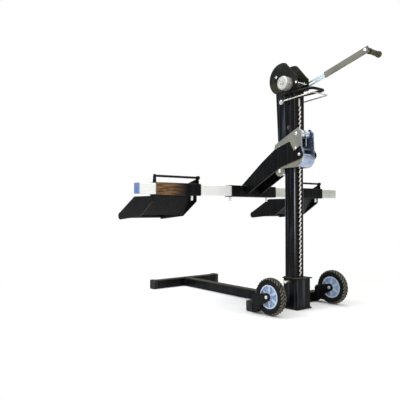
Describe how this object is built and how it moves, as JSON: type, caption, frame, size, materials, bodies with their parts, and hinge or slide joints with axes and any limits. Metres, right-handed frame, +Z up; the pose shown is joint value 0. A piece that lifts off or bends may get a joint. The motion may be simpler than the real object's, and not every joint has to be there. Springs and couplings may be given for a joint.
{
  "type": "lawn mower lift",
  "caption": "Wheeled mast with a hand winch that raises a carriage with sliding bars and tyre cradles, to tip a riding mower up by its front wheels",
  "frame": {"origin": "on the floor under the middle of the mast, in the underside of the base plate", "axes": "+Z up the mast, +Y toward the mower along the base leg, +X to the right for a person who stands behind the mast"},
  "size_m": [1.672, 1.5209, 1.4173],
  "materials": {
    "black_powder_coat": "semi-gloss black powder coat",
    "zinc_plate": "clear zinc plating with a bluish sheen",
    "bright_steel": "bright turned steel",
    "grey_paint": "satin grey paint",
    "hub_plastic": "pale blue-grey moulded plastic",
    "tyre_rubber": "dusty black rubber with a fine tread",
    "black_plastic": "matte black moulded plastic",
    "webbing": "woven polyester webbing"
  },
  "bodies": {
    "root": {"mast_socket": "black_powder_coat", "mast": "black_powder_coat", "rear_cross_tube": "black_powder_coat", "tube_plug_left": "black_plastic", "tube_plug_right": "black_plastic", "base_leg": "black_powder_coat", "front_foot_bar": "black_powder_coat", "foot_cap_left": "black_plastic", "foot_cap_right": "black_plastic", "wheel_fork_left": "black_powder_coat", "wheel_fork_right": "black_powder_coat", "axle_bolt_left": "zinc_plate", "axle_bolt_right": "zinc_plate", "latch_rack": "black_powder_coat", "winch_bracket": "black_powder_coat", "push_handle": "black_powder_coat", "bail_bolt_left": "bright_steel", "bail_bolt_right": "bright_steel", "winch_frame": "black_powder_coat", "pawl_bolt": "bright_steel", "drum_axle": "zinc_plate"},
    "wheel_left": {"tyre_left": "tyre_rubber", "hub_left": "hub_plastic"},
    "wheel_right": {"tyre_right": "tyre_rubber", "hub_right": "hub_plastic"},
    "lock_pin": {"lock_pin": "bright_steel"},
    "bail": {"release_bail": "zinc_plate"},
    "crank": {"pinion_shaft": "zinc_plate", "ratchet_wheel": "bright_steel", "brake_hub": "zinc_plate", "crank_socket": "zinc_plate", "crank_arm": "grey_paint", "grip_bolt": "bright_steel"},
    "grip": {"crank_grip": "black_plastic"},
    "drum": {"strap_drum": "zinc_plate", "drum_gear": "zinc_plate", "strap_roll": "webbing"},
    "winch_pawl": {"winch_pawl": "bright_steel"},
    "carriage": {"carriage_frame": "zinc_plate", "roller_pin_rear": "bright_steel", "roller_pin_front": "bright_steel", "strap_anchor": "zinc_plate", "latch_pin": "bright_steel", "lift_arm": "black_powder_coat", "arm_bolt": "zinc_plate", "cross_tube_center": "black_powder_coat", "center_clamp_left": "bright_steel", "center_clamp_right": "bright_steel", "lift_strap": "webbing"},
    "roller_rear": {"roller_rear": "bright_steel"},
    "roller_front": {"roller_front": "bright_steel"},
    "latch_pawl": {"latch_pawl": "bright_steel"},
    "bar_left": {"slide_bar_left": "zinc_plate"},
    "bar_right": {"slide_bar_right": "zinc_plate"},
    "cradle_left": {"cradle_left": "black_powder_coat", "cradle_rail_left": "black_powder_coat", "cradle_clamp_left": "bright_steel"},
    "cradle_right": {"cradle_right": "black_powder_coat", "cradle_rail_right": "black_powder_coat", "cradle_clamp_right": "bright_steel"}
  },
  "joints": [
    {"name": "wheel_left_spin", "type": "hinge", "parent": "root", "child": "wheel_left", "pos_m": [-0.265, -0.066, 0.1], "axis": [1, 0, 0], "continuous": true},
    {"name": "wheel_right_spin", "type": "hinge", "parent": "root", "child": "wheel_right", "pos_m": [0.265, -0.066, 0.1], "axis": [1, 0, 0], "continuous": true},
    {"name": "lock_pin_pull", "type": "slide", "parent": "root", "child": "lock_pin", "axis": [-1, 0, 0], "range_m": [0, 0.13]},
    {"name": "bail_squeeze", "type": "hinge", "parent": "root", "child": "bail", "pos_m": [0, 0.05, 1.184], "axis": [1, 0, 0], "range_deg": [-4.5, 0], "stiffness_Nm_per_rad": 4, "springref_deg": 4.58},
    {"name": "crank_turn", "type": "hinge", "parent": "root", "child": "crank", "pos_m": [0, -0.00022, 1.27998], "axis": [1, 0, 0], "range_deg": [0, 3124]},
    {"name": "grip_spin", "type": "hinge", "parent": "crank", "child": "grip", "pos_m": [0.161, -0.41706, 1.39715], "axis": [1, 0, 0], "continuous": true},
    {"name": "drum_turn", "type": "hinge", "parent": "root", "child": "drum", "pos_m": [0, 0.051, 1.32], "axis": [1, 0, 0], "range_deg": [-937.4, 0]},
    {"name": "winch_pawl_lift", "type": "hinge", "parent": "root", "child": "winch_pawl", "pos_m": [0.014, -0.06, 1.28], "axis": [1, 0, 0], "range_deg": [-10, 0], "stiffness_Nm_per_rad": 0.3, "springref_deg": 11.46},
    {"name": "carriage_lift", "type": "slide", "parent": "root", "child": "carriage", "axis": [0, 0, 1], "range_m": [-0.4826, 0], "deforming": ["lift_strap"]},
    {"name": "roller_rear_spin", "type": "hinge", "parent": "carriage", "child": "roller_rear", "pos_m": [0, -0.0623, 0.989], "axis": [1, 0, 0], "continuous": true},
    {"name": "roller_front_spin", "type": "hinge", "parent": "carriage", "child": "roller_front", "pos_m": [0, 0.0623, 0.785], "axis": [1, 0, 0], "continuous": true},
    {"name": "latch_swing", "type": "hinge", "parent": "carriage", "child": "latch_pawl", "pos_m": [0, -0.06, 0.906], "axis": [1, 0, 0], "range_deg": [0, 12]},
    {"name": "bar_left_slide", "type": "slide", "parent": "carriage", "child": "bar_left", "axis": [1, 0, 0], "range_m": [-0.08, 0.04]},
    {"name": "bar_right_slide", "type": "slide", "parent": "carriage", "child": "bar_right", "axis": [1, 0, 0], "range_m": [-0.04, 0.08]},
    {"name": "cradle_left_slide", "type": "slide", "parent": "bar_left", "child": "cradle_left", "axis": [1, 0, 0], "range_m": [-0.08, 0.18]},
    {"name": "cradle_right_slide", "type": "slide", "parent": "bar_right", "child": "cradle_right", "axis": [1, 0, 0], "range_m": [-0.11, 0.15]}
  ],
  "couplings": [
    {"joint": "drum_turn", "follows": "crank_turn", "ratio": -0.3},
    {"joint": "carriage_lift", "follows": "crank_turn", "m_per_rad": -0.00885},
    {"joint": "roller_front_spin", "follows": "crank_turn", "ratio": -0.36875},
    {"joint": "roller_rear_spin", "follows": "crank_turn", "ratio": 0.36875}
  ]
}
